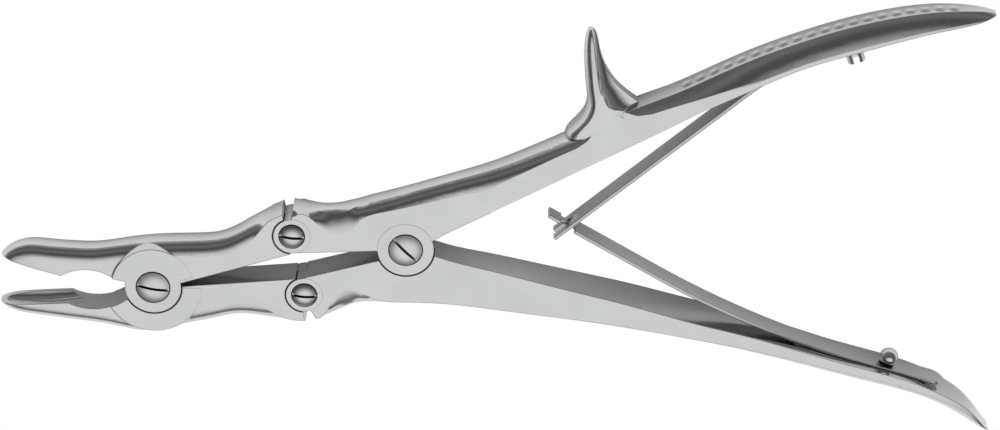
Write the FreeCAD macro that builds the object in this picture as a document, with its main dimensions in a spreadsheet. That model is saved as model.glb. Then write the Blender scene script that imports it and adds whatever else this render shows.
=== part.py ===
import FreeCAD, Part

import math
import os

import Sketcher

# Double-action bone rongeur, lying flat, in millimetres.
# The drawing frame has the handle pivot at its origin, +X towards the handle ends,
# +Y towards the upper handle and +Z out of the front face. The levers lap over each
# other at four pins: half of each lever runs in front of the middle plane, half behind.

SIZES = {
    # Linkage: the four pins stand at the corners of a kite.
    "pivot_spacing": 68.3,
    "link_setback": 29.0,
    "link_offset": 8.75,
    "joint_half": 5.0,
    "pivot_disc": 7.5,
    "link_disc": 4.9,
    "ring_gap": 0.3,
    "lap_gap": 0.05,
    "notch_rise": 4.25,
    "notch_floor": 0.6,
    "notch_mouth": 2.1,
    "notch_height": 8.45,
    # Screws that serve as axles.
    "pivot_shank": 3.0,
    "pivot_head": 4.35,
    "link_shank": 2.1,
    "link_head": 3.25,
    "head_sink": 0.9,
    "head_brim": 0.15,
    "head_lift": 0.02,
    "head_dome": 1.1,
    "head_gap": 0.2,
    "slot_width": 0.75,
    "slot_depth": 1.2,
    "running_gap": 0.05,
    "jaw_pivot_gap": 0.15,
    "thread_gap": 0.01,
    "jaw_pivot_slot": 160.0,
    "handle_pivot_slot": 125.0,
    "upper_link_slot": 164.0,
    "lower_link_slot": 166.0,
    # Jaws: straight cutting rims, the throat arch behind them and the bone cups.
    "rim_drop": 3.9,
    "upper_rim_angle": 25.8,
    "lower_rim_angle": 6.8,
    "upper_boss": 11.0,
    "upper_boss_crown": 12.4,
    "lower_boss": 12.9,
    "lower_boss_crown": 14.2,
    "upper_boss_start": 6.0,
    "upper_throat_angle": 158.0,
    "lower_boss_start": 10.7,
    "lower_throat_angle": 163.0,
    "throat_reach": 12.0,
    "upper_arch_along": 15.2,
    "upper_arch_drop": 8.1,
    "upper_arch_radius": 12.1,
    "lower_arch_along": 15.75,
    "lower_arch_drop": 12.4,
    "lower_arch_radius": 14.45,
    "cup_along": 28.4,
    "cup_half_length": 11.9,
    "cup_radius": 3.6,
    "cup_lift": 0.7,
    "cup_shoulder": 2.0,
    "cup_end": 1.45,
    "cup_end_radius": 2.1,
    # Inner edges of the tails and handles: rise per millimetre away from the pins.
    "upper_tail_slope": 0.121,
    "lower_tail_slope": 0.089,
    "upper_neck_slope": 0.135,
    "lower_neck_slope": 0.0875,
    "upper_grip_slope": 0.3475,
    "upper_grip_offset": 1.07,
    "lower_grip_slope": 0.44,
    "lower_grip_offset": 0.1,
    # Leaf springs: a foot on the handle, a root bend and a long blade.
    "leaf_thickness": 0.9,
    "leaf_half_width": 3.6,
    "leaf_seat_gap": 0.02,
    "seat_half_width": 3.9,
    "upper_bend_x": 110.0,
    "upper_bend_y": 35.0,
    "upper_foot_angle": 8.0,
    "upper_foot_length": 17.5,
    "upper_root_radius": 38.0,
    "upper_root_turn": 22.5,
    "upper_blade_length": 66.0,
    "upper_seat_run": 12.0,
    "upper_screw_along": 13.5,
    "lower_bend_x": 120.0,
    "lower_bend_y": 56.6,
    "lower_foot_angle": 26.1,
    "lower_foot_length": 18.5,
    "lower_root_radius": 262.0,
    "lower_root_turn": 14.5,
    "lower_blade_length": 34.5,
    "lower_seat_run": 24.0,
    "lower_screw_along": 2.2,
    "seat_clearance": 14.0,
    "fork_half_gap": 1.3,
    "fork_depth": 8.0,
    "tongue_half_width": 0.95,
    "tongue_length": 8.0,
    "hook_half_width": 2.6,
    "hook_length": 3.6,
    "spring_shank": 1.4,
    "upper_spring_head": 2.4,
    "upper_spring_height": 1.9,
    "lower_spring_head": 2.6,
    "lower_spring_height": 2.3,
    "spring_shank_depth": 2.2,
    # Blunt ends of the finger spur's sections, as a share of their half thickness.
    "spur_blunt": 0.35,
    "spur_round": 0.14,
    "spur_hollow": 0.12,
}

# Stations along each lever: step along X from the one before, outward bow of the inner
# edge from its straight line, depth of the flat side face, depth of the crown, half
# thickness. Depths are taken across the lever from its inner edge.
UPPER_JAW_NOSE = [
    (38.4, 0.0, 0.10, 0.50, 1.2),
    (-0.8, 0.0, 0.20, 1.50, 2.4),
    (-1.4, 0.0, 0.40, 3.00, 3.4),
    (-2.4, 0.0, 1.10, 4.90, 4.0),
    (-3.8, 0.0, 2.70, 6.90, 4.4),
    (-4.6, 0.0, 3.60, 8.00, 4.5),
    (-6.0, 0.0, 5.00, 9.40, 4.5),
    (-6.0, 0.0, 6.75, 11.15, 4.5),
    (-6.4, 0.0, 9.60, 14.00, 4.5),
]
LOWER_JAW_NOSE = [
    (41.9, 0.0, 0.10, 0.50, 1.2),
    (-0.8, 0.0, 0.30, 1.60, 2.4),
    (-1.7, 0.0, 0.30, 2.80, 3.5),
    (-2.9, 0.0, 0.40, 3.90, 4.2),
    (-4.5, 0.0, 0.80, 4.90, 4.45),
    (-5.5, 0.0, 1.60, 6.00, 4.5),
    (-6.5, 0.0, 2.85, 7.25, 4.5),
    (-7.0, 0.0, 4.50, 8.90, 4.5),
    (-6.0, 0.0, 6.20, 10.60, 4.5),
]
UPPER_JAW_TAIL = [
    (0.0, 0.0, 9.45, 13.85, 4.95),
    (5.8, 0.0, 8.60, 12.60, 4.95),
    (3.5, 0.0, 7.60, 11.70, 4.95),
    (5.0, 0.0, 6.00, 10.40, 4.95),
    (5.5, 0.0, 4.65, 9.35, 4.95),
    (5.5, 0.0, 5.20, 10.00, 4.95),
    (4.0, 0.0, 7.10, 11.15, 4.95),
    (3.0, 0.0, 9.60, 11.80, 4.95),
    (3.0, 0.0, 11.20, 12.20, 4.95),
    (2.7, 0.0, 11.65, 12.45, 4.95),
]
LOWER_JAW_TAIL = [
    (0.0, 0.0, 9.50, 13.90, 4.95),
    (6.0, 0.0, 8.80, 12.80, 4.95),
    (4.6, 0.0, 7.80, 12.20, 4.95),
    (4.5, 0.0, 6.70, 11.50, 4.95),
    (4.2, 0.0, 6.15, 10.95, 4.95),
    (4.0, 0.0, 6.40, 11.20, 4.95),
    (4.0, 0.0, 7.70, 12.10, 4.95),
    (3.5, 0.0, 10.00, 12.85, 4.95),
    (3.3, 0.0, 12.00, 13.35, 4.95),
    (3.9, 0.0, 12.70, 13.70, 4.95),
]

# The handles' stations start at the link's shoulder. Where the back is not one round
# arc, two more depths give the shoulder of the outer band and the band's half width.
UPPER_HANDLE_NECK = [
    (-0.4, 0.0, 10.85, 12.90, 4.95),
    (2.9, 0.0, 11.15, 13.00, 4.95),
    (2.6, 0.0, 10.90, 12.50, 4.95),
    (2.7, 0.0, 7.65, 12.15, 4.95),
    (2.7, 0.0, 5.30, 11.90, 4.95, 10.6, 3.0),
    (2.8, 0.0, 5.10, 12.00, 4.95, 10.7, 3.0),
    (2.7, 0.0, 6.35, 12.45, 4.95, 11.3, 3.2),
    (2.5, 0.0, 8.90, 13.00, 4.95),
    (3.0, 0.0, 10.50, 13.80, 4.95),
    (4.5, 0.0, 11.50, 14.90, 4.95),
]
UPPER_HANDLE_GRIP = [
    (3.0, 0.0, 12.10, 15.90, 4.95),
    (7.0, 0.0, 10.30, 14.40, 4.95),
    (7.0, 0.0, 8.45, 12.90, 5.1),
    (10.0, 0.0, 5.90, 11.00, 5.6),
    (11.0, 0.0, 4.70, 9.90, 6.1),
    (9.0, 0.0, 4.40, 9.30, 6.4),
    (9.0, 0.0, 4.60, 9.20, 6.8),
    (9.0, 0.0, 4.00, 8.90, 7.2, 8.3, 3.9),
    (9.0, 0.0, 2.40, 7.60, 7.5, 7.2, 3.7),
    (10.0, 0.0, 1.60, 6.90, 7.5, 6.5, 3.7),
    (13.0, -1.0, 1.40, 7.20, 7.0, 6.8, 3.7),
    (13.0, -2.2, 1.00, 6.70, 6.6, 6.3, 3.7),
    (12.0, -4.6, 1.00, 6.80, 6.5, 6.4, 3.7),
    (12.0, -7.4, 0.90, 6.30, 6.2, 5.9, 3.6),
    (11.0, -10.4, 0.70, 5.20, 5.5, 4.8, 3.3),
    (8.0, -13.2, 0.60, 4.00, 4.3, 3.6, 2.6),
    (5.0, -14.7, 0.40, 2.40, 2.9, 2.1, 1.7),
    (2.6, -15.2, 0.20, 0.90, 1.3, 0.7, 0.8),
]
LOWER_HANDLE_NECK = [
    (-0.4, 0.0, 12.60, 13.80, 4.95),
    (2.9, 0.0, 12.60, 13.70, 4.95),
    (2.3, 0.0, 11.20, 13.50, 4.95),
    (2.2, 0.0, 8.40, 13.20, 4.95),
    (2.5, 0.0, 6.60, 12.70, 4.95, 11.6, 3.0),
    (2.8, 0.0, 6.55, 12.35, 4.95, 11.2, 3.0),
    (2.7, 0.0, 8.00, 12.50, 4.95),
    (3.0, 0.0, 10.40, 13.10, 4.95),
    (3.5, 0.0, 12.25, 14.05, 4.95),
    (4.5, 0.0, 13.55, 15.25, 4.95),
]
LOWER_HANDLE_GRIP = [
    (3.0, 0.0, 14.90, 16.50, 4.95),
    (7.0, 0.0, 13.50, 15.10, 4.95),
    (10.0, 0.0, 12.00, 13.60, 5.4),
    (18.0, 0.0, 9.20, 11.20, 6.3),
    (18.0, 0.0, 6.90, 9.30, 7.0),
    (17.0, 0.7, 5.00, 7.30, 7.5, 6.6, 3.9),
    (11.0, 0.9, 4.20, 6.90, 7.4, 6.3, 3.9),
    (13.0, 1.8, 3.40, 6.20, 7.0, 5.6, 3.9),
    (13.0, 2.9, 2.80, 5.60, 6.6, 5.0, 3.8),
    (12.0, 3.4, 2.50, 5.30, 6.5, 4.8, 3.7),
    (9.0, 4.5, 2.20, 5.00, 6.3, 4.5, 3.5),
    (6.0, 6.3, 2.00, 4.90, 5.9, 4.4, 3.2),
    (5.0, 8.8, 2.00, 4.90, 4.95, 4.4, 2.7),
    (3.5, 12.8, 1.20, 3.00, 3.9, 2.6, 2.1),
    (2.1, 15.3, 0.40, 1.20, 2.2, 1.0, 1.2),
]
# Sections of the finger spur: rise from the one before, left edge, right edge, half
# thickness at the ridge. The first rise is counted from the pivot line.
SPUR = [
    (24.0, 46.5, 3.0, 14.0, 5.0, 4.9),
    (2.5, 48.0, 3.0, 15.0, 6.0, 5.0),
    (2.5, 51.2, 2.6, 7.0, 8.2, 4.95),
    (3.0, 53.3, 2.2, 3.2, 6.9, 4.75),
    (4.0, 53.9, 2.0, 1.6, 4.8, 4.3),
    (5.0, 54.2, 2.0, 1.2, 2.6, 3.7),
    (6.0, 55.0, 1.8, 0.8, 1.4, 2.9),
    (4.0, 56.1, 1.1, 0.6, 1.0, 2.0),
    (1.4, 56.8, 0.6, 0.3, 0.6, 1.1),
]


class Size:
    """A length with the expression that works it out from the sheet's cells."""

    def __init__(self, value, text):
        self.value = value
        self.text = text

    def _join(self, other, sign, value):
        text = other.text if isinstance(other, Size) else repr(other)
        return Size(value, "({} {} {})".format(self.text, sign, text))

    def __add__(self, other):
        return self._join(other, "+", self.value + number(other))

    def __sub__(self, other):
        return self._join(other, "-", self.value - number(other))

    def __mul__(self, other):
        return self._join(other, "*", self.value * number(other))

    def __truediv__(self, other):
        return self._join(other, "/", self.value / number(other))

    def __neg__(self):
        return Size(-self.value, "(0 - {})".format(self.text))


def number(item):
    return item.value if isinstance(item, Size) else item


def root(size):
    return Size(math.sqrt(size.value), "sqrt({})".format(size.text))


def sine(size):
    return Size(math.sin(math.radians(size.value)), "sin({})".format(size.text))


def cosine(size):
    return Size(math.cos(math.radians(size.value)), "cos({})".format(size.text))


doc = FreeCAD.newDocument("Rongeur")
sheet = doc.addObject("Spreadsheet::Sheet", "Sizes")
filled_rows = []


def cell(alias, value):
    """Write one number to the sheet under its name."""
    filled_rows.append(alias)
    row = len(filled_rows)
    sheet.set("A{}".format(row), alias)
    sheet.set("B{}".format(row), repr(value))
    sheet.setAlias("B{}".format(row), alias)
    return Size(value, "Sizes.{}".format(alias))


S = {alias: cell(alias, value) for alias, value in SIZES.items()}

# The four pins.
JAW_PIVOT = (-S["pivot_spacing"], S["link_offset"] * 0)
HANDLE_PIVOT = (S["link_offset"] * 0, S["link_offset"] * 0)
UPPER_LINK = (-S["link_setback"], S["link_offset"])
LOWER_LINK = (-S["link_setback"], -S["link_offset"])


def new_body(label):
    body = doc.addObject("PartDesign::Body", label)
    body.Label = label
    return body


def new_sketch(body, name, role, offset, turn=None, about=(0, 0, 1)):
    """Add a sketch on one of the body's planes, moved in it and turned about an axis."""
    sketch = body.newObject("Sketcher::SketchObject", name)
    for item in body.Origin.OriginFeatures:
        if item.Role == role:
            sketch.AttachmentSupport = [(item, "")]
    sketch.MapMode = "FlatFace"
    start = FreeCAD.Vector(*[number(item) for item in offset])
    rotation = FreeCAD.Rotation(FreeCAD.Vector(*about), number(turn) if turn else 0)
    sketch.AttachmentOffset = FreeCAD.Placement(start, rotation)
    for axis, item in zip("xyz", offset):
        if isinstance(item, Size):
            sketch.setExpression("AttachmentOffset.Base." + axis, item.text)
    if turn:
        sketch.setExpression("AttachmentOffset.Rotation.Angle", turn.text)
    return sketch


def bind(sketch, kind, *args):
    """Add a dimension whose last argument is a Size, and tie it to the sheet."""
    size = args[-1]
    index = sketch.addConstraint(Sketcher.Constraint(kind, *args[:-1], number(size)))
    if isinstance(size, Size):
        name = "size_{}".format(index)
        sketch.renameConstraint(index, name)
        sketch.setExpression("Constraints." + name, size.text)


def pin_point(sketch, geometry, end, x, y):
    """Hold a point of the sketch at x, y from the sketch's origin."""
    for kind, axis, size in (("DistanceX", -2, x), ("DistanceY", -1, y)):
        if number(size) == 0:
            sketch.addConstraint(Sketcher.Constraint("PointOnObject", geometry, end, axis))
        elif number(size) > 0:
            bind(sketch, kind, -1, 1, geometry, end, size)
        else:
            bind(sketch, kind, geometry, end, -1, 1, -size)


def point(x, y):
    return FreeCAD.Vector(number(x), number(y), 0)


def outline(sketch, corners, bends=()):
    """Draw a closed outline through pinned corners.

    bends maps an edge's index to the radius of its arc and a point the arc passes.
    """
    bends = dict(bends)
    edges = []
    for index, start in enumerate(corners):
        end = corners[(index + 1) % len(corners)]
        if index in bends:
            edge = Part.Arc(point(*start), point(*bends[index][1]), point(*end))
        else:
            edge = Part.LineSegment(point(*start), point(*end))
        edges.append(sketch.addGeometry(edge, False))
    first_ends = []
    last_ends = []
    for index, start in enumerate(corners):
        forward = sketch.getPoint(edges[index], 1).distanceToPoint(point(*start)) < 1e-6
        first_ends.append(1 if forward else 2)
        last_ends.append(2 if forward else 1)
    for index, corner in enumerate(corners):
        before = index - 1
        join = Sketcher.Constraint(
            "Coincident", edges[before], last_ends[before], edges[index], first_ends[index]
        )
        sketch.addConstraint(join)
        pin_point(sketch, edges[index], first_ends[index], *corner)
    for index, (radius, _) in bends.items():
        bind(sketch, "Radius", edges[index], radius)


def circle(sketch, radius):
    """Draw a circle round the sketch's own origin."""
    normal = FreeCAD.Vector(0, 0, 1)
    sketch.addGeometry(Part.Circle(FreeCAD.Vector(0, 0, 0), normal, number(radius)), False)
    sketch.addConstraint(Sketcher.Constraint("Coincident", 0, 3, -1, 1))
    bind(sketch, "Radius", 0, radius)


def pad(body, sketch, length, both_ways=False):
    feature = body.newObject("PartDesign::Pad", sketch.Name + "Pad")
    feature.Profile = sketch
    feature.SideType = "Symmetric" if both_ways else "One side"
    feature.Length = number(length)
    feature.setExpression("Length", length.text)
    body.Tip = feature
    return feature


def pocket(body, sketch, length, both_ways=False):
    """Cut the sketch towards the front face, or evenly to both sides of its plane."""
    feature = body.newObject("PartDesign::Pocket", sketch.Name + "Cut")
    feature.Profile = sketch
    feature.SideType = "Symmetric" if both_ways else "One side"
    feature.Reversed = not both_ways
    feature.Length = number(length)
    feature.setExpression("Length", length.text)
    body.Tip = feature
    return feature


def arch_radius(chord, rise):
    """Radius of an arc that rises so far over half of a chord."""
    return (rise * rise + chord * chord) / (rise * 2)


def section(body, name, side, x, inner, face, crown, half, shoulder=None, band=None):
    """Draw a lever's cross-section: flat inner edge and sides, and an arched back.

    side is 1 for an upper lever and -1 for a lower one, whose section is turned over.
    """
    if band is None:
        band = half * 0.5
        crown_radius = arch_radius(half, crown - face)
        flank_radius = crown_radius
        shoulder = crown - crown_radius + root(crown_radius * crown_radius - band * band)
    else:
        crown_radius = arch_radius(band, crown - shoulder)
        flank_radius = half * 2.2
    run = number(shoulder - face)
    drop = number(band - half)
    span = math.hypot(run, drop)
    sink = number(flank_radius) - math.sqrt(number(flank_radius) ** 2 - span ** 2 / 4)
    flank_u = (number(face) + number(shoulder)) / 2 - sink * drop / span
    flank_v = (number(half) + number(band)) / 2 + sink * run / span

    def place(u, v):
        return point(side * number(u), side * number(v))

    sketch = new_sketch(body, name, "YZ_Plane", (inner if side == 1 else -inner, 0, x))
    edges = [
        Part.LineSegment(place(0, half), place(0, -half)),
        Part.LineSegment(place(0, -half), place(face, -half)),
        Part.Arc(place(face, -half), place(flank_u, -flank_v), place(shoulder, -band)),
        Part.Arc(place(shoulder, -band), place(crown, 0), place(shoulder, band)),
        Part.Arc(place(shoulder, band), place(flank_u, flank_v), place(face, half)),
        Part.LineSegment(place(face, half), place(0, half)),
    ]
    sketch.addGeometry(edges, False)
    for index in range(6):
        after = (index + 1) % 6
        sketch.addConstraint(Sketcher.Constraint("Coincident", index, 2, after, 1))
    for first, end, other in ((0, 1, 0), (1, 2, 4), (2, 2, 3)):
        mirror = Sketcher.Constraint("Symmetric", first, end, other, 2, -1)
        sketch.addConstraint(mirror)
    sketch.addConstraint(Sketcher.Constraint("PointOnObject", 0, 1, -2))
    sketch.addConstraint(Sketcher.Constraint("Horizontal", 1))

    def across(kind, near, far, size):
        ends = near + far if side == 1 else far + near
        bind(sketch, kind, *ends, size)

    across("DistanceY", (0, 2), (0, 1), half * 2)
    across("DistanceX", (1, 1), (1, 2), face)
    across("DistanceY", (3, 1), (3, 2), band * 2)
    across("DistanceX", (1, 1), (2, 2), shoulder)
    bind(sketch, "Radius", 2, flank_radius)
    bind(sketch, "Radius", 4, flank_radius)
    bind(sketch, "Radius", 3, crown_radius)
    return sketch


def stations(name, rows, start, towards, inner_line):
    """Turn rows of steps into sections' sizes, the inner edge's line being given."""
    words = ("step", "bow", "face", "crown", "half", "shoulder", "band")
    along = start
    result = []
    for index, row in enumerate(rows):
        sizes = []
        for word, value in zip(words, row):
            sizes.append(cell("{}_{}_{}".format(name, word, index + 1), value))
        along = along + sizes[0] * towards
        result.append((along, inner_line(along) + sizes[1], *sizes[2:]))
    return result


def lever_loft(body, name, side, places):
    """Run one solid through a lever's sections."""
    sketches = []
    for index, place in enumerate(places):
        sketches.append(section(body, "{}{}".format(name, index + 1), side, *place))
    feature = body.newObject("PartDesign::AdditiveLoft", name)
    feature.Profile = sketches[0]
    feature.Sections = sketches[1:]
    body.Tip = feature


def tangent_line(slope, towards):
    """Inner edge that touches the link's disc: height over the midline at any X."""
    lean = root(slope * slope + 1)

    def height(x):
        return S["link_offset"] - S["link_disc"] * lean + (x - UPPER_LINK[0]) * slope * towards

    return height


def lap(body, name, pin, radius, front):
    """Half-lap joint at a pin: keep this lever's disc in its own half only.

    front tells whether the lever runs in front of the other one there.
    """
    reach = S["joint_half"] * 2
    gap = S["lap_gap"]
    clear = new_sketch(body, name + "Recess", "XY_Plane", (*pin, -gap if not front else gap - reach))
    circle(clear, radius + S["ring_gap"])
    pocket(body, clear, reach)
    ear = new_sketch(body, name + "Ear", "XY_Plane", (*pin, gap if front else -S["joint_half"]))
    circle(ear, radius)
    pad(body, ear, S["joint_half"] - gap)


def bore(body, name, pin, radius, head=None):
    """Drill a pin's hole right through, with a counterbore where the head sits."""
    hole = new_sketch(body, name + "Bore", "XY_Plane", (*pin, 0))
    circle(hole, radius)
    pocket(body, hole, S["joint_half"] * 4, both_ways=True)
    if head:
        floor = S["joint_half"] - S["head_sink"]
        sink = new_sketch(body, name + "Sink", "XY_Plane", (*pin, floor))
        circle(sink, head + S["head_gap"])
        pocket(body, sink, S["head_sink"] * 3)


def rim_frame(angle):
    """Unit directions of a jaw's cutting rim: towards the tip, and up from the rim."""
    return (-cosine(angle), sine(angle)), (sine(angle), cosine(angle))


def from_rim(angle, along, up):
    """Point given by its place along the rim and its height over the rim's line."""
    tip_way, up_way = rim_frame(angle)
    rise = up - S["rim_drop"]
    x = JAW_PIVOT[0] + tip_way[0] * along + up_way[0] * rise
    y = JAW_PIVOT[1] + tip_way[1] * along + up_way[1] * rise
    return x, y


def boss(body, side, face, crown, start, sweep):
    """Arched round shoulder of a jaw, turned about the jaw pivot."""
    half = S["joint_half"]
    sketch = new_sketch(
        body, "BossProfile", "XZ_Plane", (JAW_PIVOT[0], 0, 0), start, about=(0, 1, 0)
    )
    corners = [(0, -half), (face, -half), (face, half), (0, half)]
    radius = arch_radius(half, crown - face)
    outline(sketch, corners, {1: (radius, (crown, 0))})
    feature = body.newObject("PartDesign::Revolution", "Boss")
    feature.Profile = sketch
    feature.ReferenceAxis = (sketch, ["V_Axis"])
    feature.Angle = number(sweep)
    feature.setExpression("Angle", sweep.text)
    body.Tip = feature


def bone_cup(body, side, angle):
    """Hollow out the nose: a long oval trough, turned about a line just off the rim."""
    centre = from_rim(angle, S["cup_along"], S["cup_lift"] * -side)
    sketch = new_sketch(body, "CupProfile", "XY_Plane", (*centre, 0), -angle + 90)
    long = S["cup_half_length"]
    end = S["cup_end"]
    shoulder = S["cup_shoulder"]
    deep = S["cup_radius"]
    round_end = S["cup_end_radius"]
    chord = math.hypot(number(end), number(shoulder))
    sink = number(round_end) - math.sqrt(number(round_end) ** 2 - chord ** 2 / 4)
    out = -side * (number(shoulder) / 2 + sink * number(end) / chord)
    past = number(long) - number(end) / 2 + sink * number(shoulder) / chord
    corners = [
        (0, -long),
        (shoulder * -side, end - long),
        (shoulder * -side, long - end),
        (0, long),
    ]
    bends = {
        0: (round_end, (out, -past)),
        1: (arch_radius(long - end, deep - shoulder), (deep * -side, 0)),
        2: (round_end, (out, past)),
    }
    outline(sketch, corners, bends)
    turn_about_edge(body, sketch, "PartDesign::Groove", "Cup", 0)


def jaw(label, side, nose_rows, tail_rows):
    """One jaw: cupped nose, arched boss round the pivot and tail to its link."""
    key = label.split("_")[0]
    upper = side == 1
    link = UPPER_LINK if upper else LOWER_LINK
    angle = S[key + "_rim_angle"]
    throat = S[key + "_throat_angle"]
    body = new_body(label)

    def rim(x):
        height = (JAW_PIVOT[0] - x) * sine(angle) / cosine(angle) - S["rim_drop"] / cosine(angle)
        return height if upper else -height

    nose = stations(label + "_nose", nose_rows, JAW_PIVOT[0], -1, rim)
    inner = tangent_line(S[key + "_tail_slope"], 1)
    tail = stations(label + "_tail", tail_rows, JAW_PIVOT[0], 1, inner)
    lever_loft(body, "Lever", side, nose + tail)
    start = S[key + "_boss_start"]
    first = start if upper else S["lower_throat_angle"] * -1 + 360
    boss(body, side, S[key + "_boss"], S[key + "_boss_crown"], first, throat - start)

    # Cut away what the loft of the nose leaves behind the throat's edge.
    reach = S["throat_reach"]
    trim = new_sketch(body, "ThroatTrim", "XY_Plane", (JAW_PIVOT[0], 0, 0))
    corners = [
        (0, inner(JAW_PIVOT[0]) * side),
        (cosine(throat) * reach, sine(throat) * reach * side),
        (-reach * 1.25, reach * -0.7 * side),
        (reach * 0.9, reach * -0.7 * side),
        (reach * 0.9, inner(JAW_PIVOT[0] + reach * 0.9) * side),
    ]
    outline(trim, corners)
    pocket(body, trim, S["joint_half"] * 4, both_ways=True)
    drop = S[key + "_arch_drop"]
    centre = from_rim(angle, S[key + "_arch_along"], drop * -side)
    arch = new_sketch(body, "ThroatArch", "XY_Plane", (*centre, 0))
    circle(arch, S[key + "_arch_radius"])
    pocket(body, arch, S["joint_half"] * 4, both_ways=True)

    bone_cup(body, side, angle)
    lap(body, "Pivot", JAW_PIVOT, S["pivot_disc"], front=upper)
    lap(body, "Link", link, S["link_disc"], front=False)
    if upper:
        bore(body, "Pivot", JAW_PIVOT, S["pivot_shank"] + S["jaw_pivot_gap"], S["pivot_head"])
    else:
        bore(body, "Pivot", JAW_PIVOT, S["pivot_shank"] + S["thread_gap"])
    bore(body, "Link", link, S["link_shank"] + S["thread_gap"])
    return body


def leaf_frame(key):
    """Where a leaf spring's foot ends and its bend starts, and the foot's heading.

    Local X follows the leaf (towards the tip for the upper one, away for the lower
    one), local Y points from the handle to the midline.
    """
    upper = key == "upper"
    angle = S[key + "_foot_angle"]
    height = S[key + "_bend_y"]
    place = (S[key + "_bend_x"], height if upper else -height, 0)
    turn = angle + 180 if upper else -angle + 360
    return place, turn, 1 if upper else -1


def spring_seat(body, key):
    """Shallow groove that holds the leaf's foot, and the hole for its screw."""
    place, turn, ahead = leaf_frame(key)
    sketch = new_sketch(body, "SpringSeat", "XY_Plane", place, turn)
    gap = S["leaf_seat_gap"]
    back = (S[key + "_foot_length"] + 4) * -ahead
    front = S[key + "_seat_run"] * ahead
    top = S["seat_clearance"]
    outline(sketch, [(back, -gap), (front, -gap), (front, top), (back, top)])
    pocket(body, sketch, S["seat_half_width"] * 2, both_ways=True)
    shank = S["spring_shank"] + S["thread_gap"]
    hole = new_sketch(body, "SpringHole", "XY_Plane", place, turn)
    along = S[key + "_screw_along"] * -ahead
    depth = -S["spring_shank_depth"]
    corners = [(along, depth), (along + shank, depth), (along + shank, 1), (along, 1)]
    outline(hole, corners)
    turn_about_edge(body, hole, "PartDesign::Groove", "SpringBore", along)


def turn_about_edge(body, sketch, kind, name, along):
    """Turn the sketch about the line at a distance along its local X."""
    line = sketch.addGeometry(Part.LineSegment(point(along, -1), point(along, 1)), True)
    sketch.addConstraint(Sketcher.Constraint("Vertical", line))
    pin_point(sketch, line, 1, along, -1)
    bind(sketch, "DistanceY", line, 1, line, 2, 2)
    feature = body.newObject(kind, name)
    feature.Profile = sketch
    feature.ReferenceAxis = (sketch, ["Axis0"])
    feature.Angle = 360
    body.Tip = feature


def handle(label, side, neck_rows, grip_rows):
    """One handle: neck with its link ear, pivot ear and long grip."""
    key = label.split("_")[0]
    upper = side == 1
    link = UPPER_LINK if upper else LOWER_LINK
    body = new_body(label)
    neck_line = tangent_line(S[key + "_neck_slope"], -1)
    neck = stations(label + "_neck", neck_rows, UPPER_LINK[0], 1, neck_line)
    slope = S[key + "_grip_slope"]
    rise = S[key + "_grip_offset"]

    def grip_line(x):
        return x * slope - rise if upper else x * slope + rise

    grip = stations(label + "_grip", grip_rows, HANDLE_PIVOT[0], 1, grip_line)
    lever_loft(body, "Lever", side, neck + grip)
    if upper:
        spur(body)

    notch = new_sketch(body, "Notch", "XY_Plane", (*link, 0))
    floor = S["notch_rise"] * side
    mouth = S["notch_height"] * side
    corners = [
        (-S["notch_floor"] * 4, floor),
        (S["notch_floor"], floor),
        (S["notch_mouth"], mouth),
        (S["notch_mouth"] * 1.2, mouth * 1.2),
        (-S["notch_floor"] * 4, mouth * 1.2),
    ]
    outline(notch, corners)
    pocket(body, notch, S["joint_half"] * 4, both_ways=True)
    lap(body, "Pivot", HANDLE_PIVOT, S["pivot_disc"], front=upper)
    lap(body, "Link", link, S["link_disc"], front=True)
    if upper:
        bore(body, "Pivot", HANDLE_PIVOT, S["pivot_shank"] + S["running_gap"], S["pivot_head"])
    else:
        bore(body, "Pivot", HANDLE_PIVOT, S["pivot_shank"] + S["thread_gap"])
    bore(body, "Link", link, S["link_shank"] + S["running_gap"], S["link_head"])
    spring_seat(body, key)
    return body


def spur(body):
    """Curved finger spur: a narrow front ridge, a round outer side and a hollow inner one."""
    sketches = []
    height = HANDLE_PIVOT[1]
    for index, row in enumerate(SPUR):
        words = ("rise", "left", "round", "ridge", "hollow", "half")
        rise, left, outer, ridge, hollow, half = [
            cell("spur_{}_{}".format(word, index + 1), value) for word, value in zip(words, row)
        ]
        height = height + rise
        blunt = half * S["spur_blunt"]
        sketch = new_sketch(body, "Spur{}".format(index + 1), "XZ_Plane", (0, 0, -height))
        crest = left + outer
        fall = crest + ridge
        right = fall + hollow
        corners = [
            (left, blunt),
            (left, -blunt),
            (crest, -half),
            (fall, -half),
            (right, -blunt),
            (right, blunt),
            (fall, half),
            (crest, half),
        ]
        outer_bend, outer_middle = flank(left, blunt, crest, half, S["spur_round"])
        inner_bend, inner_middle = flank(right, blunt, fall, half, S["spur_hollow"] * -1)
        outline(
            sketch,
            corners,
            {
                1: (outer_bend, (outer_middle[0], -outer_middle[1])),
                3: (inner_bend, (inner_middle[0], -inner_middle[1])),
                5: (inner_bend, inner_middle),
                7: (outer_bend, outer_middle),
            },
        )
        sketches.append(sketch)
    feature = body.newObject("PartDesign::AdditiveLoft", "Spur")
    feature.Profile = sketches[0]
    feature.Sections = sketches[1:]
    body.Tip = feature


def flank(edge, blunt, crest, half, swell):
    """Arc from a spur's edge up to its ridge: its radius and a point it passes.

    swell is the arc's rise over its chord as a share of the chord, below 0 for a hollow.
    """
    run = crest - edge
    rise = half - blunt
    chord = root(run * run + rise * rise)
    depth = chord * (swell if number(swell) > 0 else swell * -1)
    radius = arch_radius(chord / 2, depth)
    out = -1 if number(run) > 0 else 1
    lean = number(swell)
    middle = (
        number(edge + crest) / 2 + out * number(rise) * lean,
        number(blunt + half) / 2 + abs(number(run)) * lean,
    )
    return radius, middle


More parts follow.
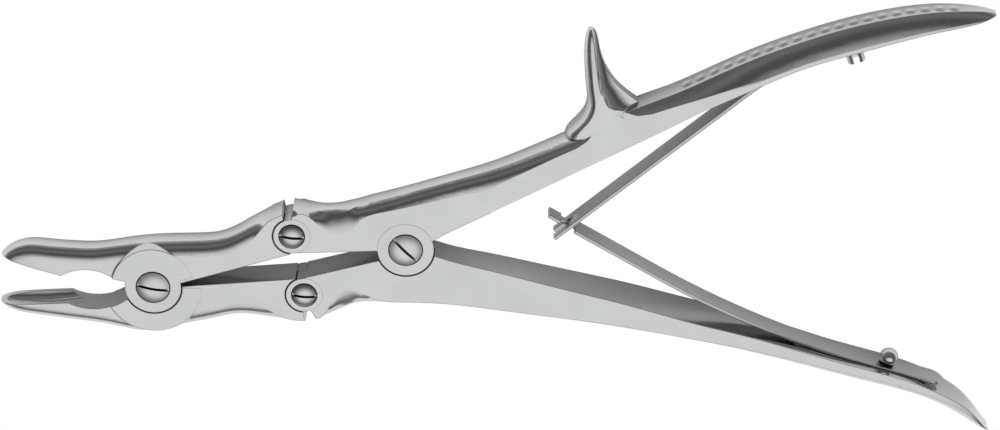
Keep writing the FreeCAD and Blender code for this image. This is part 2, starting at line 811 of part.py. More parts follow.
def pin_screw(label, pin, shank, head, slot_turn):
    """Domed slotted screw: turned blank with a slot across the head."""
    body = new_body(label)
    seat = S["joint_half"] - S["head_sink"] + S["head_lift"]
    brim = S["joint_half"] + S["head_brim"]
    top = S["joint_half"] + S["head_dome"]
    foot = -S["joint_half"]
    profile = new_sketch(body, "Profile", "XZ_Plane", (pin[0], 0, -pin[1]))
    corners = [(0, foot), (shank, foot), (shank, seat), (head, seat), (head, brim), (0, top)]
    dome = arch_radius(head, top - brim)
    half_way = number(head) / 2
    rise = number(top - dome) + math.sqrt(number(dome) ** 2 - half_way ** 2)
    outline(profile, corners, {4: (dome, (half_way, rise))})
    turn_blank(body, profile)
    slot = new_sketch(
        body, "Slot", "XY_Plane", (*pin, top - S["slot_depth"]), slot_turn
    )
    long = head * 1.5
    wide = S["slot_width"] / 2
    outline(slot, [(-long, -wide), (long, -wide), (long, wide), (-long, wide)])
    pocket(body, slot, S["slot_depth"] * 2)
    return body


def turn_blank(body, profile):
    feature = body.newObject("PartDesign::Revolution", "Blank")
    feature.Profile = profile
    feature.ReferenceAxis = (profile, ["V_Axis"])
    feature.Angle = 360
    body.Tip = feature


def spring_screw(label, key):
    """Round-headed screw that clamps a leaf's foot to the handle's inner face."""
    body = new_body(label)
    place, turn, ahead = leaf_frame(key)
    along = S[key + "_screw_along"] * -ahead
    sketch = new_sketch(body, "Profile", "XY_Plane", place, turn)
    head = S[key + "_spring_head"]
    seat = S["leaf_thickness"] + S["head_lift"]
    top = seat + S[key + "_spring_height"]
    shank = S["spring_shank"]
    depth = -S["spring_shank_depth"]
    corners = [
        (along, depth),
        (along + shank, depth),
        (along + shank, seat),
        (along + head, seat),
        (along, top),
    ]
    dome = arch_radius(head, top - seat)
    half_way = number(head) / 2
    rise = number(top - dome) + math.sqrt(number(dome) ** 2 - half_way ** 2)
    outline(sketch, corners, {3: (dome, (number(along) + half_way, rise))})
    turn_about_edge(body, sketch, "PartDesign::Revolution", "Blank", along)
    return body


def leaf_spring(label, key):
    """Leaf spring: foot, root bend and straight blade, with its end shaped to hook."""
    body = new_body(label)
    place, turn, ahead = leaf_frame(key)
    sketch = new_sketch(body, "SideView", "XY_Plane", place, turn)
    thick = S["leaf_thickness"]
    outer = S[key + "_root_radius"]
    bend = S[key + "_root_turn"]
    blade = S[key + "_blade_length"]
    foot = S[key + "_foot_length"]

    def on_arc(radius, share=1.0):
        angle = bend * share
        return sine(angle) * radius * ahead, outer - cosine(angle) * radius

    def on_blade(radius, along):
        x, y = on_arc(radius)
        return x + cosine(bend) * along * ahead, y + sine(bend) * along

    inner = outer - thick
    corners = [
        (foot * -ahead, S["leaf_thickness"] * 0),
        (0, 0),
        on_arc(outer),
        on_blade(outer, blade),
        on_blade(inner, blade),
        on_arc(inner),
        (0, thick),
        (foot * -ahead, thick),
    ]
    bends = {1: (outer, on_arc(outer, 0.5)), 5: (inner, on_arc(inner, 0.5))}
    outline(sketch, corners, bends)
    pad(body, sketch, S["leaf_half_width"] * 2, both_ways=True)

    def strip(name, start, end, low, high):
        """Cut the blade between two distances from its tip, from one width to another."""
        area = new_sketch(body, name, "XY_Plane", (place[0], place[1], low), turn)
        margin = thick * 3
        corners = [
            on_blade(outer + margin, blade - start),
            on_blade(outer + margin, blade - end),
            on_blade(inner - margin, blade - end),
            on_blade(inner - margin, blade - start),
        ]
        outline(area, corners)
        pocket(body, area, high - low)

    wide = S["leaf_half_width"] * 1.5
    if key == "upper":
        strip("Fork", S["fork_depth"] * -0.5, S["fork_depth"], -S["fork_half_gap"], S["fork_half_gap"])
    else:
        hook = S["hook_length"]
        neck = S["tongue_length"]
        strip("HookFront", hook * -0.5, hook, S["hook_half_width"], wide)
        strip("HookBack", hook * -0.5, hook, -wide, -S["hook_half_width"])
        strip("TongueFront", hook, neck, S["tongue_half_width"], wide)
        strip("TongueBack", hook, neck, -wide, -S["tongue_half_width"])

    hole = new_sketch(body, "ScrewHole", "XY_Plane", place, turn)
    along = S[key + "_screw_along"] * -ahead
    shank = S["spring_shank"] + S["thread_gap"]
    outline(hole, [(along, -1), (along + shank, -1), (along + shank, 2), (along, 2)])
    turn_about_edge(body, hole, "PartDesign::Groove", "ScrewBore", along)
    return body


def build():
    return [
        jaw("upper_jaw", 1, UPPER_JAW_NOSE, UPPER_JAW_TAIL),
        jaw("lower_jaw", -1, LOWER_JAW_NOSE, LOWER_JAW_TAIL),
        handle("upper_handle", 1, UPPER_HANDLE_NECK, UPPER_HANDLE_GRIP),
        handle("lower_handle", -1, LOWER_HANDLE_NECK, LOWER_HANDLE_GRIP),
        pin_screw(
            "jaw_pivot_screw", JAW_PIVOT, S["pivot_shank"], S["pivot_head"], S["jaw_pivot_slot"]
        ),
        pin_screw(
            "handle_pivot_screw",
            HANDLE_PIVOT,
            S["pivot_shank"],
            S["pivot_head"],
            S["handle_pivot_slot"],
        ),
        pin_screw(
            "upper_link_screw", UPPER_LINK, S["link_shank"], S["link_head"], S["upper_link_slot"]
        ),
        pin_screw(
            "lower_link_screw", LOWER_LINK, S["link_shank"], S["link_head"], S["lower_link_slot"]
        ),
        leaf_spring("upper_leaf_spring", "upper"),
        leaf_spring("lower_leaf_spring", "lower"),
        spring_screw("upper_spring_screw", "upper"),
        spring_screw("lower_spring_screw", "lower"),
    ]


def check(bodies):
    """Stop if any feature failed or any sub-part isn't one sound solid."""
    for item in doc.Objects:
        if "Invalid" in item.State or "Error" in item.State:
            raise RuntimeError("{} failed".format(item.Name))
    for body in bodies:
        shape = body.Shape
        if shape.isNull() or not shape.isValid() or len(shape.Solids) != 1:
            raise RuntimeError("{} is not one sound solid".format(body.Label))


def stand_on_floor(bodies):
    """Move everything so that the bottom centre of the whole is the origin."""
    box = FreeCAD.BoundBox()
    for body in bodies:
        box.add(body.Shape.optimalBoundingBox(False, False))
    shift = FreeCAD.Vector(-box.Center.x, -box.Center.y, -box.ZMin)
    for body in bodies:
        body.Placement = FreeCAD.Placement(shift, FreeCAD.Rotation())


parts = build()
doc.recompute()
check(parts)
stand_on_floor(parts)
doc.recompute()
check(parts)
os.makedirs("parts", exist_ok=True)
for part in parts:
    part.Shape.exportStep("parts/{}.step".format(part.Label))
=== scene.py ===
import math

import bmesh
import bpy
from mathutils import Matrix, Vector


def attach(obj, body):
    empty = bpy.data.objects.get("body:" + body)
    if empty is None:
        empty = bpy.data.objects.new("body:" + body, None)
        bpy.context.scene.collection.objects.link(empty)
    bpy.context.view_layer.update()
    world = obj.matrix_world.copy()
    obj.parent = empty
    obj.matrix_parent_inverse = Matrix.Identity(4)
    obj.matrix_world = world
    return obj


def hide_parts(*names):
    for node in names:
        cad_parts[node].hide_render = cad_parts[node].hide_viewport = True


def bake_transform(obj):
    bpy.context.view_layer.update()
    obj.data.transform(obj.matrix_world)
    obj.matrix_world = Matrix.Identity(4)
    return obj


# A double-action bone rongeur of stainless steel, lying flat on a white table.
MM = 0.001

# Where the CAD's handle pivot stands in the row frame: the levers are drawn from it.
PIVOT_X = -25.2
PIVOT_Y = 14.572
PIVOT_Z = 7.5534

# The photograph's view: distance to the aimed point, tilt from straight above towards
# +Y, and the picture's turn about the view line.
VIEW_DISTANCE = 750.0
VIEW_TILT = 25.0
VIEW_TURN = 9.2614
AIM_FROM_PIVOT = (25.93, 3.821, 0.0)
PICTURE_WIDTH = 265.0
SENSOR_WIDTH = 36.0

# The studio: one large soft lamp above, leaning away from the camera, in a darker room.
# The room's levels are given by how nearly a direction points at the lamp.
LAMP_TILT = 25.0
LAMP_LEVEL = 1.05
ROOM_LEVELS = (
    (0.0, 0.13),
    (0.25, 0.20),
    (0.45, 0.10),
    (0.60, 0.10),
    (0.76, 0.40),
    (0.90, 0.88),
    (1.0, 1.0),
)
HORIZON_LEVEL = 0.30
HORIZON_REACH = 0.32

# The table: its size in metres, the painted glow it shows to all but camera and transmission rays,
# and how far and how strongly the object's painted shadow dims that glow.
FLOOR_SIZE = 6.0
FLOOR_PAINTED_GLOW = 0.75
FLOOR_PAINTED_SHADOW_REACH = 35.0
FLOOR_PAINTED_SHADOW_POWER = 1.6

# The upward share of a face's direction from which it counts as one of the flat sides.
FLAT_FROM = 0.998

# How sharp a fold stays an edge in the pieces made here, in degrees.
SHARP_EDGE = 28.0

# Distance in which corners and gaps get painted shade, a darker base colour, on the levers and on
# the screws.
LEVER_PAINTED_SHADE_REACH = 0.5
SCREW_PAINTED_SHADE_REACH = 1.2

# The small rounds left by polishing on the levers' and leaves' edges and on the screws'.
LEVER_EDGE_ROUND = 0.4
SCREW_EDGE_ROUND = 0.04

# Row of dimples punched along the upper handle's back, in millimetres from the pivot. The
# row lies a little towards the front side.
DIMPLE_FIRST = 78.0
DIMPLE_LAST = 152.0
DIMPLE_PITCH = 3.7
DIMPLE_RADIUS = 1.75
DIMPLE_DEPTH = 0.6
DIMPLE_RAISE = 1.2

# The upper handle's inner edge as a straight line, and how far over it the flat side
# reaches: place along X and height, in millimetres from the pivot. The side runs up to the
# spur's ridge, and from SIDE_FADE on the handle's own form takes over.
GRIP_SLOPE = 0.3475
GRIP_OFFSET = 1.07
SIDE_TOP = (
    (24.0, 4.4),
    (43.0, 4.1),
    (49.0, 3.9),
    (52.0, 4.3),
    (54.4, 5.5),
    (55.8, 7.6),
    (56.7, 14.0),
    (57.9, 14.0),
    (58.4, 10.8),
    (60.2, 8.5),
    (62.4, 6.7),
    (66.1, 4.4),
    (70.0, 3.2),
    (75.0, 2.4),
    (84.0, 0.9),
    (100.0, -1.8),
)
SIDE_FADE = 88.0

# Where each leaf spring begins and ends its bend, in millimetres from the pivot.
UPPER_LEAF_BEND = ((113.0, 36.0), (76.0, 17.0))
LOWER_LEAF_BEND = ((121.0, -57.0), (80.0, -31.0))
LEAF_SLICES = 24

# The lower leaf's rounded foot: the middle of its end round and its heading.
LOWER_FOOT_END = (133.4, -63.16)
LOWER_FOOT_TURN = -26.1
LEAF_HALF_WIDTH = 3.6

# The spring screws: where each stands, its leaf's heading there, and its head. Heights
# are from the handle's face under the leaf.
SCREW_SEAT = 0.92
UPPER_SCREW_PLACE = (123.37, 36.88)
UPPER_SCREW_TURN = 188.0
UPPER_SCREW_HEAD = 2.3
UPPER_SCREW_TOP = 4.4
SLOT_DEPTH = 1.9
SLOT_HALF_WIDTH = 0.75
LOWER_SCREW_PLACE = (121.98, -57.57)
BALL_RADIUS = 2.55
BALL_CENTRE = 2.8
SHANK_RADIUS = 1.4
SHANK_DEPTH = 2.2
LUG_OVERLAP = 0.02


def from_pivot(x, y):
    return Vector((PIVOT_X + x, PIVOT_Y + y, PIVOT_Z)) * MM


def heading_way(turn_degrees):
    turn = math.radians(turn_degrees)
    return Vector((math.cos(turn), math.sin(turn), 0))


def srgb_colour(hex_code):
    """sRGB hex to the linear values that shaders take."""
    values = []
    for start in (0, 2, 4):
        level = int(hex_code[start : start + 2], 16) / 255
        values.append(level / 12.92 if level <= 0.04045 else ((level + 0.055) / 1.055) ** 2.4)
    return (*values, 1.0)


def add_node(tree, kind, settings=(), inputs=(), links=()):
    """Add one shader node: its settings, its input values and what feeds it."""
    node = tree.nodes.new(kind)
    for name, value in dict(settings).items():
        setattr(node, name, value)
    for name, value in dict(inputs).items():
        node.inputs[name].default_value = value
    for name, socket in dict(links).items():
        tree.links.new(socket, node.inputs[name])
    return node


def work_out(tree, operation, *values):
    """Add one sum of shader values and plain numbers."""
    node = tree.nodes.new("ShaderNodeMath")
    node.operation = operation
    for index, value in enumerate(values):
        if isinstance(value, (int, float)):
            node.inputs[index].default_value = value
        else:
            tree.links.new(value, node.inputs[index])
    return node.outputs[0]


def fill_ramp(stops, levels):
    """Give a new grey ramp its stops, the first of them at its very start."""
    stops.remove(stops[1])
    for position, level in levels:
        stop = stops.new(position) if position > 0 else stops[0]
        stop.color = (level, level, level, 1)


def new_material(name):
    material = bpy.data.materials.new(name)
    material.use_nodes = True
    tree = material.node_tree
    tree.nodes.clear()
    output = tree.nodes.new("ShaderNodeOutputMaterial")
    return material, tree, output


def grain_height(tree, place, grain_mm, turn_degrees):
    """Fine scratches that all run one way."""
    along = add_node(
        tree,
        "ShaderNodeMapping",
        inputs={
            "Rotation": (0, 0, math.radians(turn_degrees)),
            "Scale": (0.04 / (grain_mm * MM), 1 / (grain_mm * MM), 1 / (grain_mm * MM)),
        },
        links={"Vector": place.outputs["Object"]},
    )
    return add_node(
        tree,
        "ShaderNodeTexNoise",
        inputs={"Scale": 1.0, "Detail": 3.0, "Roughness": 0.55},
        links={"Vector": along.outputs["Vector"]},
    ).outputs["Fac"]


def face_normal(tree, edge_round):
    """The surface's direction: flat on the side faces, with a small round at each edge."""
    surface = add_node(tree, "ShaderNodeNewGeometry")
    facet = add_node(
        tree, "ShaderNodeSeparateXYZ", links={"Vector": surface.outputs["True Normal"]}
    )
    level = work_out(tree, "GREATER_THAN", work_out(tree, "ABSOLUTE", facet.outputs["Z"]), FLAT_FROM)
    flat = add_node(
        tree,
        "ShaderNodeMix",
        {"data_type": "VECTOR"},
        links={0: level, 4: surface.outputs["Normal"], 5: surface.outputs["True Normal"]},
    )
    return add_node(
        tree,
        "ShaderNodeBevel",
        {"samples": 8},
        inputs={"Radius": edge_round * MM},
        links={"Normal": flat.outputs[1]},
    ).outputs["Normal"]


def side_face_mask(tree, facing):
    """1 on the levers' flat side faces, 0 on their rounded backs."""
    normal = add_node(tree, "ShaderNodeSeparateXYZ", links={"Vector": facing})
    upright = work_out(tree, "ABSOLUTE", normal.outputs["Z"])
    return add_node(
        tree,
        "ShaderNodeMapRange",
        inputs={"From Min": 0.93, "From Max": 0.995},
        links={"Value": upright},
    ).outputs["Result"]


def patched_colour_with_painted_shade(tree, place, colour, painted_shade_reach_mm):
    """Steel with faint cloudy patches, and painted shade: darker in gaps, slots and corners."""
    cloud = add_node(
        tree,
        "ShaderNodeTexNoise",
        inputs={"Scale": 1 / (14 * MM), "Detail": 2.0},
        links={"Vector": place.outputs["Object"]},
    )
    patch = add_node(
        tree,
        "ShaderNodeMapRange",
        inputs={"From Min": 0.3, "From Max": 0.7, "To Min": 0.93, "To Max": 1.0},
        links={"Value": cloud.outputs["Fac"]},
    )
    # Painted shade: the base colour darkens towards 1E1D1C where ambient occlusion finds the surface
    # hemmed in.
    painted_shade = add_node(
        tree, "ShaderNodeAmbientOcclusion", {"samples": 8}, inputs={"Distance": painted_shade_reach_mm * MM}
    )
    open_share = add_node(
        tree,
        "ShaderNodeMapRange",
        inputs={"From Min": 0.30, "From Max": 0.85},
        links={"Value": painted_shade.outputs["AO"]},
    )
    unshaded_tone = work_out(tree, "MULTIPLY", open_share.outputs["Result"], patch.outputs["Result"])
    return add_node(
        tree,
        "ShaderNodeMix",
        {"data_type": "RGBA"},
        inputs={6: srgb_colour("1E1D1C"), 7: srgb_colour(colour)},
        links={0: unshaded_tone},
    ).outputs[2]


def dimple_height(tree, place):
    """A row of round dimples along the middle of the upper handle's back."""
    spot = add_node(tree, "ShaderNodeSeparateXYZ", links={"Vector": place.outputs["Object"]})
    normal = add_node(tree, "ShaderNodeSeparateXYZ", links={"Vector": place.outputs["Normal"]})
    first = (PIVOT_X + DIMPLE_FIRST) * MM
    last = (PIVOT_X + DIMPLE_LAST) * MM
    pitch = DIMPLE_PITCH * MM
    steps = work_out(tree, "DIVIDE", work_out(tree, "SUBTRACT", spot.outputs["X"], first), pitch)
    along = work_out(tree, "SUBTRACT", work_out(tree, "FRACT", steps), 0.5)
    off_middle = work_out(tree, "SUBTRACT", spot.outputs["Z"], (PIVOT_Z + DIMPLE_RAISE) * MM)
    across = work_out(tree, "DIVIDE", off_middle, pitch)
    offset = add_node(tree, "ShaderNodeCombineXYZ", links={"X": along, "Y": across})
    distance = add_node(
        tree, "ShaderNodeVectorMath", {"operation": "LENGTH"}, links={0: offset.outputs["Vector"]}
    )
    bowl = add_node(
        tree,
        "ShaderNodeMapRange",
        inputs={"From Max": DIMPLE_RADIUS / DIMPLE_PITCH, "To Min": -1.0, "To Max": 0.0},
        links={"Value": distance.outputs["Value"]},
    )
    after_first = work_out(tree, "GREATER_THAN", spot.outputs["X"], first)
    before_last = work_out(tree, "LESS_THAN", spot.outputs["X"], last)
    on_back = work_out(tree, "GREATER_THAN", normal.outputs["Y"], 0.3)
    in_row = work_out(tree, "MULTIPLY", after_first, before_last)
    shown = work_out(tree, "MULTIPLY", in_row, on_back)
    return work_out(tree, "MULTIPLY", bowl.outputs["Result"], shown)


def flush_side(tree, place, normal):
    """Carry the upper handle's flat side up to the spur's ridge, as it is ground there."""
    spot = add_node(tree, "ShaderNodeSeparateXYZ", links={"Vector": place.outputs["Object"]})
    x = work_out(tree, "SUBTRACT", work_out(tree, "DIVIDE", spot.outputs["X"], MM), PIVOT_X)
    y = work_out(tree, "SUBTRACT", work_out(tree, "DIVIDE", spot.outputs["Y"], MM), PIVOT_Y)
    first, last = SIDE_TOP[0][0], SIDE_TOP[-1][0]
    lowest = min(height for _, height in SIDE_TOP)
    spread = max(height for _, height in SIDE_TOP) - lowest
    share = add_node(
        tree, "ShaderNodeMapRange", inputs={"From Min": first, "From Max": last}, links={"Value": x}
    )
    ramp = add_node(tree, "ShaderNodeValToRGB", links={"Fac": share.outputs["Result"]})
    stops = ramp.color_ramp.elements
    levels = [
        ((place_x - first) / (last - first), (height - lowest) / spread)
        for place_x, height in SIDE_TOP
    ]
    fill_ramp(stops, levels)
    top = work_out(tree, "MULTIPLY_ADD", ramp.outputs["Color"], spread, lowest)
    inner_edge = work_out(tree, "MULTIPLY_ADD", x, GRIP_SLOPE, GRIP_OFFSET)
    over_top = work_out(tree, "SUBTRACT", work_out(tree, "SUBTRACT", y, inner_edge), top)
    below = add_node(
        tree,
        "ShaderNodeMapRange",
        {"interpolation_type": "SMOOTHSTEP"},
        inputs={"From Min": -0.3, "From Max": 0.3, "To Min": 1.0, "To Max": 0.0},
        links={"Value": over_top},
    )
    after_first = work_out(tree, "GREATER_THAN", x, first)
    fade = add_node(
        tree,
        "ShaderNodeMapRange",
        inputs={"From Min": SIDE_FADE, "From Max": last, "To Min": 1.0, "To Max": 0.0},
        links={"Value": x},
    )
    in_reach = work_out(tree, "MULTIPLY", after_first, fade.outputs["Result"])
    parts = add_node(tree, "ShaderNodeSeparateXYZ", links={"Vector": place.outputs["Normal"]})
    sideways = work_out(tree, "GREATER_THAN", work_out(tree, "ABSOLUTE", parts.outputs["Z"]), 0.3)
    amount = work_out(tree, "MULTIPLY", below.outputs["Result"], in_reach)
    straight = add_node(
        tree, "ShaderNodeCombineXYZ", links={"Z": work_out(tree, "SIGN", parts.outputs["Z"])}
    )
    return add_node(
        tree,
        "ShaderNodeMix",
        {"data_type": "VECTOR"},
        links={
            0: work_out(tree, "MULTIPLY", amount, sideways),
            4: normal,
            5: straight.outputs["Vector"],
        },
    ).outputs[1]


def ground_steel(
    name, colour, side_rough, back_rough, grain_mm, turn_degrees, punched=False, screw=False
):
    """Stainless steel: satin-ground side faces and glossier backs, with painted shade in its gaps.
    """
    material, tree, output = new_material(name)
    place = add_node(tree, "ShaderNodeTexCoord")
    grain = grain_height(tree, place, grain_mm, turn_degrees)
    facing = face_normal(tree, SCREW_EDGE_ROUND if screw else LEVER_EDGE_ROUND)
    if punched:
        facing = flush_side(tree, place, facing)
    side = side_face_mask(tree, facing)
    finish = add_node(
        tree,
        "ShaderNodeMapRange",
        inputs={"To Min": back_rough, "To Max": side_rough},
        links={"Value": side},
    )
    streak = add_node(
        tree,
        "ShaderNodeMapRange",
        inputs={"From Min": 0.3, "From Max": 0.7, "To Min": 0.85, "To Max": 1.15},
        links={"Value": grain},
    )
    rough = work_out(tree, "MULTIPLY", finish.outputs["Result"], streak.outputs["Result"])
    scratches = add_node(
        tree,
        "ShaderNodeBump",
        inputs={"Strength": 0.2, "Distance": 0.003 * MM},
        links={"Height": grain, "Normal": facing},
    )
    surface = scratches
    if punched:
        surface = add_node(
            tree,
            "ShaderNodeBump",
            inputs={"Distance": DIMPLE_DEPTH * MM},
            links={"Height": dimple_height(tree, place), "Normal": scratches.outputs["Normal"]},
        )
    shader = add_node(
        tree,
        "ShaderNodeBsdfPrincipled",
        inputs={"Metallic": 1.0},
        links={
            "Base Color": patched_colour_with_painted_shade(tree, place, colour, SCREW_PAINTED_SHADE_REACH if screw else LEVER_PAINTED_SHADE_REACH),
            "Roughness": rough,
            "Normal": surface.outputs["Normal"],
        },
    )
    tree.links.new(shader.outputs["BSDF"], output.inputs["Surface"])
    return material


def dress(node_name, material):
    """Give a CAD node its steel."""
    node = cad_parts[node_name]
    node.data.materials.clear()
    node.data.materials.append(material)


def soften_faces(piece):
    """Show curved faces without their facets, and keep the real edges sharp."""
    for face in piece.data.polygons:
        face.use_smooth = True
    split = piece.modifiers.new("EdgeSplit", "EDGE_SPLIT")
    split.split_angle = math.radians(SHARP_EDGE)


def round_end(form, centre, turn_degrees, radius):
    """Trim a strip's square end to a half round, one flat facet at a time."""
    heading = heading_way(turn_degrees)
    for step in range(1, 10):
        angle = math.radians(step * 18 - 90)
        outward = heading * math.cos(angle) + Vector((0, 0, 1)) * math.sin(angle)
        whole = form.verts[:] + form.edges[:] + form.faces[:]
        cut = bmesh.ops.bisect_plane(
            form,
            geom=whole,
            plane_co=centre + outward * radius,
            plane_no=outward,
            clear_outer=True,
        )
        rim = [part for part in cut["geom_cut"] if isinstance(part, bmesh.types.BMEdge)]
        bmesh.ops.holes_fill(form, edges=rim)


def bending_leaf(node_name, material, bend, foot=None):
    """Stand in for a leaf spring with the same leaf, sliced across many times along its bend."""
    start = from_pivot(*bend[0])
    end = from_pivot(*bend[1])
    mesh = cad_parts[node_name].data.copy()
    mesh.materials.clear()
    mesh.materials.append(material)
    form = bmesh.new()
    form.from_mesh(mesh)
    bmesh.ops.remove_doubles(form, verts=form.verts, dist=0.002 * MM)
    if foot:
        round_end(form, from_pivot(*foot), LOWER_FOOT_TURN, LEAF_HALF_WIDTH * MM)
    for index in range(1, LEAF_SLICES):
        cut = start.lerp(end, index / LEAF_SLICES)
        whole = form.verts[:] + form.edges[:] + form.faces[:]
        bmesh.ops.bisect_plane(form, geom=whole, plane_co=cut, plane_no=end - start)
    form.to_mesh(mesh)
    form.free()
    leaf = bpy.data.objects.new(node_name + "_bending", mesh)
    bpy.context.scene.collection.objects.link(leaf)
    soften_faces(leaf)
    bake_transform(leaf)
    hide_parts(node_name)


def rod(radius, low, high, side=0):
    """A turned length along Z; a side leaves only the lug beyond the slot on that side."""
    form = bmesh.new()
    bmesh.ops.create_cone(
        form,
        cap_ends=True,
        segments=64,
        radius1=radius * MM,
        radius2=radius * MM,
        depth=(high - low) * MM,
        matrix=Matrix.Translation((0, 0, (low + high) / 2 * MM)),
    )
    if side:
        cut = bmesh.ops.bisect_plane(
            form,
            geom=form.verts[:] + form.edges[:] + form.faces[:],
            plane_co=(side * SLOT_HALF_WIDTH * MM, 0, 0),
            plane_no=(side, 0, 0),
            clear_inner=True,
        )
        rim = [part for part in cut["geom_cut"] if isinstance(part, bmesh.types.BMEdge)]
        bmesh.ops.holes_fill(form, edges=rim)
    return form


def ball(radius, middle):
    form = bmesh.new()
    place = Matrix.Translation((0, 0, middle * MM))
    bmesh.ops.create_uvsphere(form, u_segments=64, v_segments=32, radius=radius * MM, matrix=place)
    return form


def spring_screw(node_name, forms, place, turn_degrees, material, body):
    """Stand in for a spring screw, standing on its leaf, with its shank in the handle."""
    heading = heading_way(turn_degrees)
    axis = Vector((-heading.y, heading.x, 0))
    columns = Matrix((heading, axis.cross(heading), axis)).transposed().to_4x4()
    mesh = bpy.data.meshes.new(node_name + "_headed")
    whole = bmesh.new()
    for form in forms:
        form.to_mesh(mesh)
        whole.from_mesh(mesh)
        form.free()
    whole.transform(Matrix.Translation(from_pivot(*place)) @ columns)
    whole.to_mesh(mesh)
    whole.free()
    mesh.materials.append(material)
    screw = bpy.data.objects.new(node_name + "_headed", mesh)
    bpy.context.scene.collection.objects.link(screw)
    soften_faces(screw)
    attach(screw, body)
    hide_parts(node_name)


def upper_screw_forms():
    """Cheese head with an open slot, seen edge-on beyond the handle."""
    slot_floor = UPPER_SCREW_TOP - SLOT_DEPTH
    return [
        rod(SHANK_RADIUS, -SHANK_DEPTH, SCREW_SEAT),
        rod(UPPER_SCREW_HEAD, SCREW_SEAT, slot_floor),
        rod(UPPER_SCREW_HEAD, slot_floor - LUG_OVERLAP, UPPER_SCREW_TOP, side=1),
        rod(UPPER_SCREW_HEAD, slot_floor - LUG_OVERLAP, UPPER_SCREW_TOP, side=-1),
    ]


def lower_screw_forms():
    return [rod(SHANK_RADIUS, -SHANK_DEPTH, BALL_CENTRE), ball(BALL_RADIUS, BALL_CENTRE)]


def white_floor():
    bpy.ops.object.select_all(action="DESELECT")
    bpy.ops.mesh.primitive_plane_add(size=FLOOR_SIZE, location=(0, 0, 0))
    floor = bpy.context.object
    floor.name = "table"
    material, tree, output = new_material("white_laminate")
    ray = add_node(tree, "ShaderNodeLightPath")
    seen = ray.outputs["Is Camera Ray"]
    either = work_out(tree, "MAXIMUM", seen, ray.outputs["Is Transmission Ray"])
    matte = add_node(tree, "ShaderNodeBsdfDiffuse", inputs={"Color": srgb_colour("B8B8B8")})
    glow = add_node(tree, "ShaderNodeEmission", inputs={"Color": (1, 1, 1, 1), "Strength": 1.0})
    # Painted glow and painted shadow: away from the camera the table glows, and ambient occlusion
    # dims that glow near the object.
    covered = add_node(
        tree, "ShaderNodeAmbientOcclusion", {"samples": 8}, inputs={"Distance": FLOOR_PAINTED_SHADOW_REACH * MM}
    )
    shade = work_out(tree, "POWER", covered.outputs["AO"], FLOOR_PAINTED_SHADOW_POWER)
    painted_glow = add_node(
        tree,
        "ShaderNodeEmission",
        inputs={"Color": (1, 1, 1, 1)},
        links={"Strength": work_out(tree, "MULTIPLY", shade, FLOOR_PAINTED_GLOW)},
    )
    matte_with_painted_glow = add_node(
        tree, "ShaderNodeAddShader", links={0: matte.outputs["BSDF"], 1: painted_glow.outputs["Emission"]}
    )
    mix = add_node(
        tree,
        "ShaderNodeMixShader",
        links={0: either, 1: matte_with_painted_glow.outputs["Shader"], 2: glow.outputs["Emission"]},
    )
    tree.links.new(mix.outputs["Shader"], output.inputs["Surface"])
    floor.data.materials.append(material)


def view_axes():
    """The picture's right and, level with the table, its up."""
    turn = math.radians(VIEW_TURN)
    right = Vector((math.cos(turn), -math.sin(turn), 0))
    level_up = Vector((math.sin(turn), math.cos(turn), 0))
    return right, level_up


def studio_world():
    """White to the camera; elsewhere a large soft lamp overhead and darker walls."""
    world = bpy.data.worlds.new("Studio")
    bpy.context.scene.world = world
    world.use_nodes = True
    tree = world.node_tree
    tree.nodes.clear()
    tilt = math.radians(LAMP_TILT)
    lamp_way = Vector((0, 0, math.cos(tilt))) - view_axes()[1] * math.sin(tilt)
    place = add_node(tree, "ShaderNodeTexCoord")
    towards_lamp = add_node(
        tree,
        "ShaderNodeVectorMath",
        {"operation": "DOT_PRODUCT"},
        inputs={1: lamp_way},
        links={0: place.outputs["Generated"]},
    )
    ramp = add_node(tree, "ShaderNodeValToRGB", links={"Fac": towards_lamp.outputs["Value"]})
    stops = ramp.color_ramp.elements
    fill_ramp(stops, ROOM_LEVELS)
    height = add_node(
        tree, "ShaderNodeSeparateXYZ", links={"Vector": place.outputs["Generated"]}
    ).outputs["Z"]
    glow = add_node(
        tree,
        "ShaderNodeMapRange",
        {"interpolation_type": "SMOOTHSTEP"},
        inputs={"From Max": HORIZON_REACH, "To Min": HORIZON_LEVEL, "To Max": 0.0},
        links={"Value": height},
    )
    ray = add_node(tree, "ShaderNodeLightPath")
    room = add_node(
        tree,
        "ShaderNodeBackground",
        inputs={"Strength": LAMP_LEVEL},
        links={"Color": work_out(tree, "ADD", ramp.outputs["Color"], glow.outputs["Result"])},
    )
    white = add_node(tree, "ShaderNodeBackground", inputs={"Color": (1, 1, 1, 1)})
    mix = add_node(
        tree,
        "ShaderNodeMixShader",
        links={
            0: ray.outputs["Is Camera Ray"],
            1: room.outputs["Background"],
            2: white.outputs["Background"],
        },
    )
    output = tree.nodes.new("ShaderNodeOutputWorld")
    tree.links.new(mix.outputs["Shader"], output.inputs["Surface"])


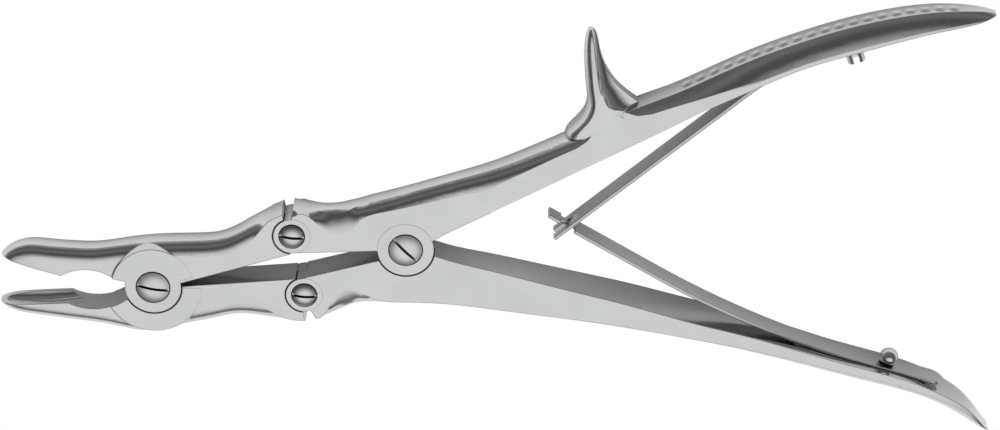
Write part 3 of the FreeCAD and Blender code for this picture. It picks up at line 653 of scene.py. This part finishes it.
def photograph_camera():
    right, level_up = view_axes()
    tilt = math.radians(VIEW_TILT)
    up = level_up * math.cos(tilt) - Vector((0, 0, 1)) * math.sin(tilt)
    back = Vector((0, 0, 1)) * math.cos(tilt) + level_up * math.sin(tilt)
    pivot = Vector((PIVOT_X, PIVOT_Y, PIVOT_Z))
    place = (pivot + Vector(AIM_FROM_PIVOT) + back * VIEW_DISTANCE) * MM
    data = bpy.data.cameras.new("Camera")
    data.sensor_width = SENSOR_WIDTH
    data.lens = SENSOR_WIDTH * VIEW_DISTANCE / PICTURE_WIDTH
    data.clip_start = 0.01
    camera = bpy.data.objects.new("Camera", data)
    bpy.context.scene.collection.objects.link(camera)
    columns = Matrix((right, up, back)).transposed().to_4x4()
    camera.matrix_world = Matrix.Translation(place) @ columns
    bpy.context.scene.camera = camera


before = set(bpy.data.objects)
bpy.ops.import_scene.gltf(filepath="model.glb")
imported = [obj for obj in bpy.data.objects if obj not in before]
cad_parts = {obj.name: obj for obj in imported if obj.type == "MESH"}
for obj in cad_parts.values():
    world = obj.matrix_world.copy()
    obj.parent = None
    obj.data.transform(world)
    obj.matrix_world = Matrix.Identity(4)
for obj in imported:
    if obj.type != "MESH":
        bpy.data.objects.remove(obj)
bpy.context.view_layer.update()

satin = ground_steel("satin_ground_stainless_steel", "CFD0D1", 0.26, 0.13, 0.35, 0)
punched = ground_steel("punched_stainless_steel", "CFD0D1", 0.26, 0.13, 0.35, -19, punched=True)
polished = ground_steel("polished_stainless_steel", "CFD0D1", 0.12, 0.12, 0.30, 0, screw=True)
spring = ground_steel("brushed_spring_steel", "B9BABB", 0.26, 0.24, 0.30, 35)

FINISHES = {
    "upper_handle": punched,
    "upper_jaw": satin,
    "lower_jaw": satin,
    "lower_handle": satin,
    "jaw_pivot_screw": polished,
    "handle_pivot_screw": polished,
    "upper_link_screw": polished,
    "lower_link_screw": polished,
}
for node_name, finish in FINISHES.items():
    dress(node_name, finish)
bending_leaf(
    "upper_leaf_spring", spring, UPPER_LEAF_BEND
)
bending_leaf(
    "lower_leaf_spring",
    spring,
    LOWER_LEAF_BEND,
    foot=LOWER_FOOT_END,
)
spring_screw(
    "upper_spring_screw",
    upper_screw_forms(),
    UPPER_SCREW_PLACE,
    UPPER_SCREW_TURN,
    polished,
    "upper_handle_body",
)
spring_screw(
    "lower_spring_screw",
    lower_screw_forms(),
    LOWER_SCREW_PLACE,
    LOWER_FOOT_TURN,
    polished,
    "lower_handle_body",
)

white_floor()
studio_world()
photograph_camera()
bpy.context.scene.view_settings.view_transform = "Standard"
